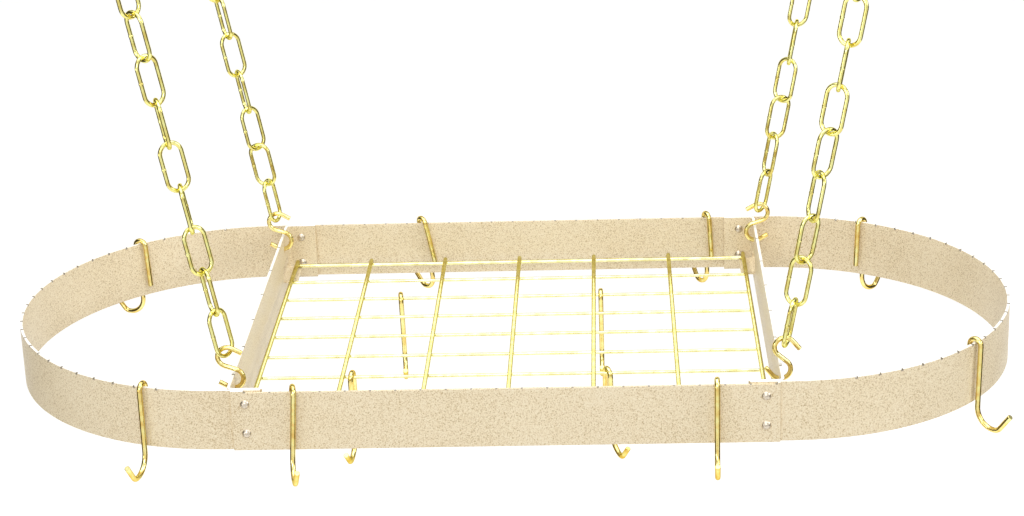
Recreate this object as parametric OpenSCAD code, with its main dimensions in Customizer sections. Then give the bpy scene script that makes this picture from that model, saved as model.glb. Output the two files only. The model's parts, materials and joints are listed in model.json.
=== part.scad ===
// Hanging pot rack: an oval band of flat steel strip around a lift-out wire grid,
// hung by S-hooks and chains from ceiling hooks, with pot hooks on the rim and the grid.
// X is the long way, Y the short way, +Z is up. The origin lies on the ceiling, over the
// middle of the rack, so the whole rack hangs at negative Z.

/* [Band] */
// Length of the oval over its ends
rack_l = 1080; // [900:1:1400]
// Width of the oval over its side panels
rack_w = 508; // [420:1:640]
// Height of the strip that the band is made of
band_h = 65; // [60:1:80]
// Thickness of the strip, the same for the band and the crossbars
strip_t = 3; // [2:0.1:4]
// Straight length of a bow between the end of a side panel and the half-round end
bow_lead = 13; // [8:0.5:40]
// Length of each bow tail that lies behind a side panel
lap_l = 30; // [26:1:45]

/* [Rim notches] */
// Distance between two rim notches
notch_pitch = 25.4; // [20:0.1:40]
// Width of a rim notch
notch_w = 2; // [1:0.1:4]
// Depth of a rim notch
notch_d = 1.8; // [1:0.1:3]
// Distance from the left end of a panel to its first notch
notch_inset = 14.4; // [5:0.1:25]

/* [Rivets] */
// Diameter of a rivet head
rivet_head_d = 9.4; // [7:0.1:12]
// Height of a rivet head
rivet_head_h = 2.6; // [1.5:0.1:4]
// Diameter of a rivet shank
rivet_d = 5; // [3:0.1:6]
// Distance from a panel end to its rivets
rivet_inset = 14; // [10:0.5:16]
// Distance from the rim down to the upper rivet of a corner
rivet_top = 14.5; // [12:0.5:20]
// Distance between the two rivets of a corner
rivet_pitch = 32; // [24:1:38]

/* [Crossbars] */
// Distance from a panel end outwards to the middle of the crossbar web
crossbar_out = 3; // [0:0.5:6]
// Length of the flange that a crossbar turns inwards behind each panel
flange_l = 36; // [30:1:50]
// Inside radius of the bend between web and flange
bend_r = 3; // [2:0.5:6]
// Diameter of the hole that an S-hook hangs in
hanger_hole_d = 8; // [7:0.1:10]
// Distance from the rim down to the top of that hole
hanger_hole_top = 12.4; // [9:0.1:14]
// Distance from the outer face of the band to that hole
hanger_inset = 46; // [30:1:60]
// Distance between two notches in a crossbar
crossbar_notch_pitch = 76.2; // [50:0.1:100]
// Place of the first crossbar notch, measured from the front face of the band
crossbar_notch_start = 44; // [30:1:60]

/* [Grid ledges] */
// Length of a ledge that is lanced out of the web to carry the grid
ledge_l = 50; // [40:1:60]
// Reach of a ledge from the web
ledge_reach = 16; // [14:0.5:18]
// Distance from the outer face of the band to the near end of a ledge
ledge_inset = 17; // [16:0.5:18]

/* [Grid] */
// Diameter of the wires that run the short way
cross_wire_d = 4.8; // [4:0.1:6]
// Number of wires that run the short way
cross_wire_count = 7; // [5:1:9]
// Diameter of the inner wires that run the long way
long_wire_d = 3.5; // [2.5:0.1:4]
// Diameter of the first and the last wire that run the long way
rail_wire_d = 4; // [3:0.1:5]
// Number of wires that run the long way, with both rails
long_wire_count = 9; // [7:1:11]
// Depth of the top of the grid below the rim
grid_depth = 38.7; // [34:0.1:42]
// Gap between the grid and the crossbar webs
grid_side_gap = 9; // [6:0.5:11]
// Gap between the ends of the cross wires and the side panels
grid_end_gap = 18; // [15:0.5:22]
// Length of a cross wire that sticks out past the middle of a rail
grid_overhang = 3; // [2.5:0.1:8]

/* [Pot hooks] */
// Diameter of the pot hook wire
pot_wire_d = 5.5; // [4.5:0.1:6.5]
// Clear gap between the two legs of a pot hook
pot_gap = 8; // [7.5:0.1:10]
// Straight length of the inner leg
pot_leg_l = 50; // [35:1:60]
// Straight length of the shank
pot_shank_l = 66; // [58:1:100]
// Radius of the wide bend at the bottom, on the middle of the wire
pot_bend_r = 20.5; // [16:0.5:28]
// Radius of the tight bend before the tip, on the middle of the wire
pot_nose_r = 9; // [6:0.5:12]
// Straight length of the tip
pot_tip_l = 20; // [12:0.5:26]
// Distance from each end of the front panel to the pot hook near it
front_hook_inset = 63; // [50:1:120]
// Distance from the right end of the rear panel to the pot hook near it
rear_hook_inset = 52; // [45:1:120]
// Distance from the left end of the rear panel to the other pot hook on it
rear_hook_place = 160; // [130:1:200]

/* [S-hooks] */
// Diameter of the S-hook wire
s_wire_d = 5; // [4:0.1:5.4]
// Radius of both loops, on the middle of the wire
s_loop_r = 10.4; // [9:0.1:12]
// Distance between the centres of the two loops
s_spread = 24; // [21.5:0.1:26]
// Straight length of each tip
s_tip_l = 11; // [6:0.5:14]

/* [Chains] */
// Diameter of the chain wire
link_wire_d = 4.4; // [3.6:0.1:4.8]
// Length of a link over its ends
link_l = 54.4; // [46:0.1:60]
// Width of a link
link_w = 27; // [24:0.1:32]
// Number of links in a chain
link_count = 10; // [4:1:14]
// Lean of the chains, outwards and along the length of the rack
chain_lean = 10.5; // [0:0.5:20]

/* [Ceiling hooks] */
// Diameter of the ceiling hook wire and its screw shank
ceiling_wire_d = 5; // [4:0.1:6]
// Radius of the hook loop, on the middle of the wire
ceiling_loop_r = 11; // [9:0.5:14]
// Radius of the bend between the neck and the loop, on the middle of the wire
ceiling_neck_r = 6; // [4:0.5:9]
// Straight length of the neck below the ceiling
ceiling_neck_l = 12; // [6:1:30]
// Length of the screw shank in the ceiling, with its point
screw_l = 38; // [25:1:60]
// Length of the screw point
screw_point_l = 8; // [4:1:12]

/* [Clearances] */
// Gap between wires that hang in each other
hang_gap = 0.3; // [0.2:0.05:0.5]
// Gap between a pot hook and the edge that it hangs on
rest_gap = 0.25; // [0.15:0.05:0.5]
// Gap between the grid and its ledges
ledge_gap = 0.3; // [0.2:0.05:0.5]
// Radial gap around a rivet shank
rivet_gap = 0.05; // [0.02:0.01:0.1]

/* [Hidden] */
$fn = 32;
curve_fn = 128;
little = 0.01;
joint_over = 0.03;

corner_names = ["front_left", "front_right", "rear_left", "rear_right"];
rim_hook_names = [
    "front_1", "front_2", "right_front", "right_rear",
    "rear_1", "rear_2", "left_rear", "left_front"
];
grid_hook_names = ["rear_left", "front_left", "rear_right", "front_right"];

paint = [0.87, 0.80, 0.65];
plating = [0.85, 0.68, 0.30];
rivet_metal = [0.72, 0.71, 0.69];

// Which side each corner is on: X sign, Y sign, and the way its S-hook is turned
corner_sides = [[-1, -1, -1], [1, -1, -1], [-1, 1, -1], [1, 1, 1]];
// Turn of each link about its chain, from the lowest link up
link_turns = [
    [55, -60, 35, -80, 30, -70, 45, -40, 50, -65],
    [70, -35, 40, -70, 35, -35, 80, -30, 55, -60],
    [70, -15, 45, -65, 40, -60, 30, -70, 50, -65],
    [55, -70, 25, -40, 85, 25, -45, 50, -50, 70]
];
// Rim hooks on the bows: angle around the bow, turn away from square, sideways lean
bow_hooks = [[-39, -4, -2], [62.4, -16, 2], [129, 28, -3], [251.6, 2, 0]];
rear_hook_wire = long_wire_count - 2;
front_hook_wire = 3;
left_hook_bay = ceil(cross_wire_count / 4);
right_hook_bay = cross_wire_count - left_hook_bay;
// Grid hooks: long wire, cross wire to the left, place past it, turn, and way of the tip
grid_hooks = [
    [rear_hook_wire, left_hook_bay, 44, 5, -1], [front_hook_wire, left_hook_bay, 9, -9, -1],
    [rear_hook_wire, right_hook_bay, 8, 0, -1], [front_hook_wire, right_hook_bay, 15, 25, -1]
];

panel_face = rack_w / 2;
bow_r = panel_face - strip_t;
bow_inner_r = bow_r - strip_t;
bow_x = rack_l / 2 - bow_r;
panel_end = bow_x - bow_lead;
rivet_x = panel_end - rivet_inset;
// Rim hooks on the side panels: side, place along it, turn away from square, sideways lean
panel_hooks = [
    ["front", front_hook_inset - panel_end, 13, -4], ["front", panel_end - front_hook_inset, -2, 0],
    ["rear", rear_hook_place - panel_end, 38, -11], ["rear", panel_end - rear_hook_inset, 26, -3]
];
web_x = panel_end + crossbar_out;
web_inner = web_x - strip_t / 2;
flange_face = bow_inner_r - strip_t;
bend_outer_r = bend_r + strip_t;
hanger_y = panel_face - hanger_inset;

cross_z = -grid_depth - cross_wire_d / 2;
grid_bottom = -grid_depth - cross_wire_d;
ledge_top = grid_bottom - rail_wire_d - ledge_gap;
ledge_far = panel_face - ledge_inset;
ledge_near = ledge_far - ledge_l;
cross_half_l = bow_r - grid_end_gap;
rail_y = cross_half_l - grid_overhang;
long_pitch = 2 * rail_y / (long_wire_count - 1);
grid_half_l = web_inner - grid_side_gap;
outer_cross_x = grid_half_l - cross_wire_d / 2;
cross_pitch = 2 * outer_cross_x / (cross_wire_count - 1);

pot_crown_r = (pot_gap + pot_wire_d) / 2;
pot_bend_turn = 94;
pot_nose_turn = 50;
pot_hook_moves = [
    ["go", pot_leg_l], ["bend", pot_crown_r, 180], ["go", pot_shank_l],
    ["bend", pot_bend_r, -pot_bend_turn], ["bend", pot_nose_r, -pot_nose_turn], ["go", pot_tip_l]
];

// The wire of an S-hook crosses from one loop to the other on their inner tangent
s_cross_angle = asin(2 * s_loop_r / s_spread);
s_cross_l = sqrt(s_spread * s_spread - 4 * s_loop_r * s_loop_r);
s_tip_turn = 130;
s_arc = s_cross_angle + s_tip_turn;
s_half_moves = [["go", s_cross_l / 2], ["bend", s_loop_r, -s_arc], ["go", s_tip_l]];
s_low_z = -hanger_hole_top - hang_gap - s_wire_d / 2;
s_centre_z = s_low_z + s_loop_r;
s_middle_up = s_spread / 2;
s_top_up = s_spread + s_loop_r;

link_bend_r = (link_w - link_wire_d) / 2;
link_straight = link_l - link_w;
link_rise = link_l - link_wire_d;
link_pitch = link_rise - link_wire_d - hang_gap;
first_link_up = s_top_up - (s_wire_d + link_wire_d) / 2 - hang_gap + link_rise / 2;
last_link_up = first_link_up + (link_count - 1) * link_pitch;
pivot_up = last_link_up + link_rise / 2 - (link_wire_d + ceiling_wire_d) / 2 - hang_gap;

// The pivot is the middle of the ceiling hook wire where the chain pulls on its loop, and
// the middle of the loop lies in line with the chain
pivot_x = web_x + pivot_up * sin(chain_lean);
pivot_z = s_centre_z + pivot_up * cos(chain_lean);
screw_x = pivot_x + ceiling_loop_r * sin(chain_lean);
loop_z = pivot_z + ceiling_loop_r * cos(chain_lean);
neck_turn = acos(ceiling_neck_r / (ceiling_neck_r + ceiling_loop_r));
neck_rise = sqrt(ceiling_loop_r * ceiling_loop_r + 2 * ceiling_neck_r * ceiling_loop_r);
hang_drop = loop_z + neck_rise + ceiling_neck_l;
ceiling_hook_moves = [
    ["go", ceiling_neck_l], ["bend", ceiling_neck_r, -neck_turn],
    ["bend", ceiling_loop_r, 270]
];

// ---- Bent wires ----

// Draws a wire bent in the XZ plane that starts along +Z; a positive bend turns to +X
module bent_wire(moves, d, i = 0) {
    if (i < len(moves)) {
        if (i > 0) joint_ball(d);
        if (moves[i][0] == "go") {
            cylinder(d = d, h = moves[i][1]);
            translate([0, 0, moves[i][1]]) bent_wire(moves, d, i + 1);
        } else {
            r = moves[i][1];
            turn = moves[i][2];
            way = sign(turn);
            wire_bend(r, turn, d);
            translate([way * r * (1 - cos(turn)), 0, r * sin(abs(turn))])
                rotate([0, turn, 0]) bent_wire(moves, d, i + 1);
        }
    }
}

// A ball over the joint of two stretches, so that they make one solid. It is larger than the
// wire by joint_over all round, a step that the real wire doesn't have.
module joint_ball(d) {
    sphere(d = d + 2 * joint_over);
}

// One bend of a wire, from the origin
module wire_bend(r, turn, d) {
    mirror([turn < 0 ? 1 : 0, 0, 0])
        translate([r, 0, 0]) mirror([1, 0, 0]) rotate([90, 0, 0])
            rotate_extrude(angle = abs(turn)) translate([r, 0]) circle(d = d);
}

// Length of a wire and its first moments in X and Z, for the place of its centroid
function wire_sums(moves, i = 0, at = [0, 0], aim = 0) =
    i >= len(moves) ? [0, 0, 0]
    : moves[i][0] == "go" ? go_sums(moves, i, at, aim)
    : bend_sums(moves, i, at, aim);

function go_sums(moves, i, at, aim) =
    let (l = moves[i][1], ahead = [sin(aim), cos(aim)], mid = at + ahead * l / 2)
    [l, l * mid.x, l * mid.y] + wire_sums(moves, i + 1, at + ahead * l, aim);

function bend_sums(moves, i, at, aim) =
    let (
        r = moves[i][1], turn = moves[i][2], way = sign(turn),
        l = r * abs(turn) * PI / 180,
        centre = at + way * r * [cos(aim), -sin(aim)],
        reach = r * sin(abs(turn) / 2) / (abs(turn) / 2 * PI / 180),
        half = aim + turn / 2,
        mid = centre - way * reach * [cos(half), -sin(half)],
        next = aim + turn,
        end = centre - way * r * [cos(next), -sin(next)]
    )
    [l, l * mid.x, l * mid.y] + wire_sums(moves, i + 1, end, next);

// ---- Band ----

module at_rim() {
    translate([0, 0, -hang_drop]) children();
}

// Notches across a straight strip that runs along X, given its length and first notch
module straight_notches(first, last, y) {
    for (x = [first:notch_pitch:last])
        translate([x - notch_w / 2, y - little, -notch_d])
            cube([notch_w, strip_t + 2 * little, notch_d + 1]);
}

// Bores for the two rivets of one corner, from the middle of the band outwards along +Y
module rivet_bores() {
    for (z = [-rivet_top, -rivet_top - rivet_pitch])
        translate([rivet_x, flange_face - 1, z]) rotate([-90, 0, 0])
            cylinder(d = rivet_d + 2 * rivet_gap, h = 3 * strip_t + 2);
}

// A side panel, drawn at the rear
module side_panel(front) {
    color(paint) at_rim() difference() {
        mirror([0, front ? 1 : 0, 0])
            translate([-panel_end, bow_r, -band_h]) cube([2 * panel_end, strip_t, band_h]);
        mirror([0, front ? 1 : 0, 0]) {
            straight_notches(notch_inset - panel_end, panel_end - notch_w, bow_r);
            for (side = [0, 1]) mirror([side, 0, 0]) rivet_bores();
        }
    }
}

// A half-round end with a straight tail behind each panel, drawn at the right
module end_bow(left) {
    notch_angle = notch_pitch / bow_r * 180 / PI;
    notch_steps = floor(80 / notch_angle);
    tail_l = bow_lead + lap_l;
    color(paint) at_rim() mirror([left ? 1 : 0, 0, 0]) difference() {
        union() {
            translate([bow_x, 0, -band_h]) rotate([0, 0, -90])
                rotate_extrude(angle = 180, $fn = curve_fn)
                    translate([bow_inner_r, 0]) square([strip_t, band_h]);
            for (side = [0, 1]) mirror([0, side, 0])
                translate([bow_x - tail_l, bow_inner_r, -band_h])
                    cube([tail_l, strip_t, band_h]);
        }
        for (i = [-notch_steps:notch_steps])
            translate([bow_x, 0, -notch_d]) rotate([0, 0, i * notch_angle])
                translate([bow_inner_r - 1, -notch_w / 2, 0])
                    cube([strip_t + 2, notch_w, notch_d + 1]);
        for (side = [0, 1]) mirror([0, side, 0]) rivet_bores();
    }
}

// Two domed rivets through panel, bow tail and crossbar flange
module corner_rivets(corner) {
    sides = corner_sides[corner];
    color(rivet_metal) at_rim()
        for (z = [-rivet_top, -rivet_top - rivet_pitch])
            translate([sides.x * rivet_x, sides.y * flange_face, z])
                rotate([-90 * sides.y, 0, 0]) rivet();
}

// A rivet along +Z, from the inner face of the flange at Z = 0
module rivet() {
    grip = 3 * strip_t;
    cylinder(d = rivet_d, h = grip);
    translate([0, 0, grip]) rivet_head();
    mirror([0, 0, 1]) rivet_head();
}

// A dome over a round foot, cut from a sphere through the foot and the top of the head
module rivet_head() {
    foot_r = rivet_head_d / 2;
    ball_r = (foot_r * foot_r + rivet_head_h * rivet_head_h) / (2 * rivet_head_h);
    intersection() {
        translate([0, 0, rivet_head_h - ball_r]) sphere(r = ball_r, $fn = 48);
        cylinder(r = foot_r + 1, h = rivet_head_h + 1);
    }
}

// ---- Crossbars ----

// Plan of the right crossbar: a web and two flanges, bent from one strip
module crossbar_plan() {
    web_l = 2 * (bow_inner_r - bend_outer_r);
    bend_x = web_inner + strip_t - bend_outer_r;
    flange_end = web_inner + strip_t - flange_l;
    translate([web_inner, -web_l / 2]) square([strip_t, web_l]);
    for (side = [0, 1]) mirror([0, side]) {
        translate([flange_end, flange_face]) square([bend_x - flange_end, strip_t]);
        translate([bend_x, bow_inner_r - bend_outer_r]) intersection() {
            difference() {
                circle(r = bend_outer_r);
                circle(r = bend_r);
            }
            square(bend_outer_r);
        }
    }
}

// A crossbar with its hanger holes, notches, ledges and rivet bores, drawn at the right
module crossbar(left) {
    color(paint) at_rim() mirror([left ? 1 : 0, 0, 0]) difference() {
        union() {
            translate([0, 0, -band_h]) linear_extrude(band_h) crossbar_plan();
            for (side = [0, 1]) mirror([0, side, 0])
                translate([web_inner - ledge_reach, ledge_near, ledge_top - strip_t])
                    cube([ledge_reach + strip_t / 2, ledge_l, strip_t]);
        }
        for (side = [0, 1]) mirror([0, side, 0]) {
            rivet_bores();
            translate([web_inner - 1, ledge_near, ledge_top])
                cube([strip_t + 2, ledge_l, ledge_reach]);
            translate([web_inner - 1, hanger_y, -hanger_hole_top - hanger_hole_d / 2])
                rotate([0, 90, 0]) cylinder(d = hanger_hole_d, h = strip_t + 2);
        }
        for (y = [crossbar_notch_start - panel_face:crossbar_notch_pitch:hanger_y])
            translate([web_inner - 1, y - notch_w / 2, -notch_d])
                cube([strip_t + 2, notch_w, notch_d + 1]);
    }
}

// ---- Grid ----

function cross_x(i) = -outer_cross_x + (i - 1) * cross_pitch;
function long_y(i) = -rail_y + (i - 1) * long_pitch;
function long_d(i) = i == 1 || i == long_wire_count ? rail_wire_d : long_wire_d;
function long_z(i) = grid_bottom - long_d(i) / 2;

module cross_wire(i) {
    color(plating) at_rim() translate([cross_x(i), -cross_half_l, cross_z])
        rotate([-90, 0, 0]) cylinder(d = cross_wire_d, h = 2 * cross_half_l);
}

module long_wire(i) {
    color(plating) at_rim() translate([-grid_half_l, long_y(i), long_z(i)])
        rotate([0, 90, 0]) cylinder(d = long_d(i), h = 2 * grid_half_l);
}

// ---- Pot hooks ----

// A pot hook with the middle of its crown at the origin and its tip towards +X
module pot_hook() {
    color(plating) translate([-pot_crown_r, 0, -pot_leg_l])
        bent_wire(pot_hook_moves, pot_wire_d);
}

// Depth of the crown middle below the rim, where the closest point of the crown wire is
// just rest_gap away from the strip
function crown_depth(turn, lean) =
    let (reach = pot_wire_d / 2 + rest_gap)
    min([
        for (around = [0:180])
            let (
                across = -pot_crown_r * cos(around),
                off = max(abs(across * cos(turn)) - strip_t / 2, 0),
                up = pot_crown_r * sin(around) * cos(lean) + across * sin(turn) * sin(lean)
            )
            if (off < reach) up - sqrt(reach * reach - off * off)
    ]);

// Seats a hook on the rim at a point. It is turned away from the outward angle, and it
// leans in the plane of the strip.
module seat_on_rim(point, outward, turn, lean) {
    at_rim() translate([point.x, point.y, -crown_depth(turn, lean)])
        rotate([0, 0, outward]) rotate([lean, 0, 0]) rotate([0, 0, turn]) pot_hook();
}

module panel_hook(i) {
    place = panel_hooks[i];
    way = place[0] == "front" ? -1 : 1;
    seat_on_rim([place[1], way * (bow_r + strip_t / 2)], way * 90, place[2], place[3]);
}

module bow_hook(i) {
    place = bow_hooks[i];
    way = cos(place[0]) < 0 ? -1 : 1;
    mid_r = bow_inner_r + strip_t / 2;
    point = [way * bow_x + mid_r * cos(place[0]), mid_r * sin(place[0])];
    seat_on_rim(point, place[0], place[1], place[2]);
}

// Angle at which a hook on a wire hangs with its centroid below the wire
function hang_angle(crown_down, turn) =
    let (
        sums = wire_sums(pot_hook_moves),
        out = (sums[1] / sums[0] - pot_crown_r) * cos(turn),
        down = pot_leg_l + crown_down - sums[2] / sums[0]
    )
    atan2(out, down);

module grid_hook(i) {
    place = grid_hooks[i];
    crown_down = pot_gap / 2 - hang_gap - long_d(place[0]) / 2;
    at_rim() translate([cross_x(place[1]) + place[2], long_y(place[0]), long_z(place[0])])
        rotate([-place[4] * hang_angle(crown_down, place[3]), 0, 0])
            translate([0, 0, -crown_down]) rotate([0, 0, place[4] * 90 + place[3]]) pot_hook();
}

// ---- Hangers ----

// Draws along a leaning chain: the origin is the middle of the lower S-hook loop
module along_chain(corner) {
    sides = corner_sides[corner];
    at_rim() translate([sides.x * web_x, sides.y * hanger_y, s_centre_z])
        rotate([0, sides.x * chain_lean, 0]) children();
}

// Both halves of an S-hook are the same wire, turned half a turn about its middle
module s_hook(corner) {
    color(plating) along_chain(corner) translate([0, 0, s_middle_up])
        mirror([corner_sides[corner].z < 0 ? 1 : 0, 0, 0])
            for (half = [0, 180]) rotate([0, s_cross_angle + half, 0]) {
                joint_ball(s_wire_d);
                bent_wire(s_half_moves, s_wire_d);
            }
}

module chain_link() {
    for (side = [0, 180]) rotate([0, side, 0]) {
        translate([link_bend_r, 0, -link_straight / 2])
            cylinder(d = link_wire_d, h = link_straight);
        translate([-link_bend_r, 0, link_straight / 2])
            wire_bend(link_bend_r, 180, link_wire_d);
    }
}

module chain(corner) {
    turns = link_turns[corner];
    color(plating) along_chain(corner) for (i = [0:link_count - 1])
        translate([0, 0, first_link_up + i * link_pitch])
            rotate([0, 0, turns[i % len(turns)]]) chain_link();
}

// A screw hook: its loop hangs under its shank, with the mouth away from the rack
module ceiling_hook(corner) {
    sides = corner_sides[corner];
    color(plating) translate([sides.x * screw_x, sides.y * hanger_y, 0]) {
        mirror([sides.x < 0 ? 1 : 0, 0, 0]) rotate([0, 180, 0])
            bent_wire(ceiling_hook_moves, ceiling_wire_d);
        translate([0, 0, -little]) cylinder(d = ceiling_wire_d, h = screw_l - screw_point_l);
        translate([0, 0, screw_l - screw_point_l - little])
            cylinder(d1 = ceiling_wire_d, d2 = ceiling_wire_d / 8, h = screw_point_l);
    }
}

side_panel(front = true);  // front_panel
side_panel(front = false);  // rear_panel
end_bow(left = true);  // left_bow
end_bow(left = false);  // right_bow
crossbar(left = true);  // left_crossbar
crossbar(left = false);  // right_crossbar
for (i = [0:3]) {
    corner_rivets(i);
    s_hook(i);
    chain(i);
    ceiling_hook(i);
    grid_hook(i);
}
for (i = [1:cross_wire_count])
    cross_wire(i);
for (i = [1:long_wire_count])
    long_wire(i);
panel_hook(0);  // rim_hook_front_1
panel_hook(1);  // rim_hook_front_2
panel_hook(2);  // rim_hook_rear_1
panel_hook(3);  // rim_hook_rear_2
bow_hook(0);  // rim_hook_right_front
bow_hook(1);  // rim_hook_right_rear
bow_hook(2);  // rim_hook_left_rear
bow_hook(3);  // rim_hook_left_front
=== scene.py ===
"""Looks of an oval hanging pot rack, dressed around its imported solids.

The frame is that of the solids: X along the oval, Y from the front panel to the rear one, +Z up,
with the origin on the ceiling over the middle of the rack. Blender lengths are metres. The sizes
of the sub-assemblies are in millimetres, as on a drawing, and MM turns them to metres.
"""

import json
import logging
import math
from collections.abc import Callable
from dataclasses import dataclass, field
from enum import Enum

import bpy
from mathutils import Matrix, Vector


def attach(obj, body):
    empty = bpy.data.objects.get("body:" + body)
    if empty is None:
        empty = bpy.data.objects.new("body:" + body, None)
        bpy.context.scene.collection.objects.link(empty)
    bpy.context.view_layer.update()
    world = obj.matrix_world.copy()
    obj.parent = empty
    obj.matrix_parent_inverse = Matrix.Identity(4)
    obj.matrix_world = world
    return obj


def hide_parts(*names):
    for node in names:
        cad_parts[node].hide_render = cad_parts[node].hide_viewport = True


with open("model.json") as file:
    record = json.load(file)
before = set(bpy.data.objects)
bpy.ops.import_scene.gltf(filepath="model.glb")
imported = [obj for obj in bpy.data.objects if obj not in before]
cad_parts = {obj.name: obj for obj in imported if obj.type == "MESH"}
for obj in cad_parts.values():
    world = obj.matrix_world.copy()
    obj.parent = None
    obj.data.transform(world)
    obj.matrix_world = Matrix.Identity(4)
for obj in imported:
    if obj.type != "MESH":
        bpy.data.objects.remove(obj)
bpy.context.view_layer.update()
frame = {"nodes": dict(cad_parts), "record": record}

MM = 0.001
MERGE_MM = 0.002
LOG = logging.getLogger("pot_rack")


class Slot(Enum):
    """Material slots of the record."""

    POWDER_COAT = "powder_coat"
    BRASS_PLATING = "brass_plating"
    RIVET_METAL = "rivet_metal"


class Side(Enum):
    """The two ends of the rack, with their sign along X."""

    LEFT = -1
    RIGHT = 1


class Corner(Enum):
    """The four hanging corners: sign along X, sign along Y, and the turn of the S-hook."""

    FRONT_LEFT = (-1, -1, -1)
    FRONT_RIGHT = (1, -1, -1)
    REAR_LEFT = (-1, 1, -1)
    REAR_RIGHT = (1, 1, 1)

    @property
    def label(self) -> str:
        """Name of the corner as the nodes carry it."""
        return self.name.lower()


# ---- Mesh tools -------------------------------------------------------------------------------


def deselect_all() -> None:
    """Leaves edit mode and selects nothing, because an operator acts on all that is selected."""
    if bpy.context.mode != "OBJECT":
        bpy.ops.object.mode_set(mode="OBJECT")
    bpy.ops.object.select_all(action="DESELECT")


def make_active(piece: bpy.types.Object) -> None:
    """Makes a piece the only selected object and the active one.

    Args:
        piece: The object to work on.
    """
    deselect_all()
    piece.select_set(True)
    bpy.context.view_layer.objects.active = piece


def pick_faces(piece: bpy.types.Object, wanted: Callable[[Vector, Vector], bool]) -> int:
    """Selects faces by their place, in edit mode, and nothing else.

    Args:
        piece: The object in edit mode.
        wanted: A test that takes a face's centre and normal in the object's frame.

    Returns:
        The number of faces picked.
    """
    bpy.ops.mesh.select_all(action="DESELECT")
    bpy.ops.object.mode_set(mode="OBJECT")
    picked = 0
    for polygon in piece.data.polygons:
        polygon.select = bool(wanted(polygon.center, polygon.normal))
        picked += polygon.select
    bpy.ops.object.mode_set(mode="EDIT")
    return picked


def pick_edges(piece: bpy.types.Object, wanted: Callable[[Vector], bool]) -> int:
    """Selects edges whose two ends both pass a test, in edit mode, and nothing else.

    Args:
        piece: The object in edit mode.
        wanted: A test that takes a vertex's place in the object's frame.

    Returns:
        The number of edges picked.
    """
    bpy.ops.mesh.select_all(action="DESELECT")
    bpy.ops.mesh.select_mode(type="EDGE")
    bpy.ops.object.mode_set(mode="OBJECT")
    mesh = piece.data
    picked = 0
    for edge in mesh.edges:
        edge.select = all(wanted(mesh.vertices[i].co) for i in edge.vertices)
        picked += edge.select
    bpy.ops.object.mode_set(mode="EDIT")
    return picked


def apply_modifiers(piece: bpy.types.Object) -> None:
    """Applies every modifier of a piece, in order.

    Args:
        piece: The object that carries the modifiers.
    """
    make_active(piece)
    for modifier in list(piece.modifiers):
        bpy.ops.object.modifier_apply(modifier=modifier.name)


def soften_edges(piece: bpy.types.Object, width: float, segments: int = 2) -> None:
    """Rounds the sharp edges of a piece a little, as a coat of powder leaves them.

    Args:
        piece: The object to soften.
        width: Width of the rounding in millimetres.
        segments: Facets across the rounding.
    """
    bevel = piece.modifiers.new("soft edges", "BEVEL")
    bevel.width = width * MM
    bevel.segments = segments
    bevel.limit_method = "ANGLE"
    bevel.angle_limit = math.radians(30)
    bevel.harden_normals = True
    apply_modifiers(piece)


def smooth(piece: bpy.types.Object, angle: float = 40) -> None:
    """Shades a piece smooth, apart from edges sharper than an angle in degrees."""
    make_active(piece)
    bpy.ops.object.shade_smooth_by_angle(angle=math.radians(angle))


def place_copy(pattern: bpy.types.Object, name: str, place: Matrix) -> bpy.types.Object:
    """Copies a pattern with a mesh of its own and puts the copy in its place.

    Args:
        pattern: The piece that was modelled once.
        name: Name of the copy.
        place: Where the copy goes, in metres.

    Returns:
        The copy, with its object at the origin and its place in its mesh.
    """
    piece = pattern.copy()
    piece.data = pattern.data.copy()
    piece.name = name
    piece.data.name = name
    piece.data.transform(place)
    bpy.context.scene.collection.objects.link(piece)
    return piece


def join_pieces(pieces: list[bpy.types.Object], name: str) -> bpy.types.Object:
    """Joins pieces into the first of them.

    Args:
        pieces: The pieces to join.
        name: Name of the joined piece.

    Returns:
        The joined piece.
    """
    make_active(pieces[0])
    for piece in pieces[1:]:
        piece.select_set(True)
    bpy.ops.object.join()
    pieces[0].name = name
    pieces[0].data.name = name
    return pieces[0]


def shift(x: float, y: float, z: float) -> Matrix:
    """Returns a move by millimetres."""
    return Matrix.Translation(Vector((x, y, z)) * MM)


def turned(angle: float, axis: str) -> Matrix:
    """Returns a turn by degrees about an axis through the origin."""
    return Matrix.Rotation(math.radians(angle), 4, axis)


Move = tuple[float, ...]


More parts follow.
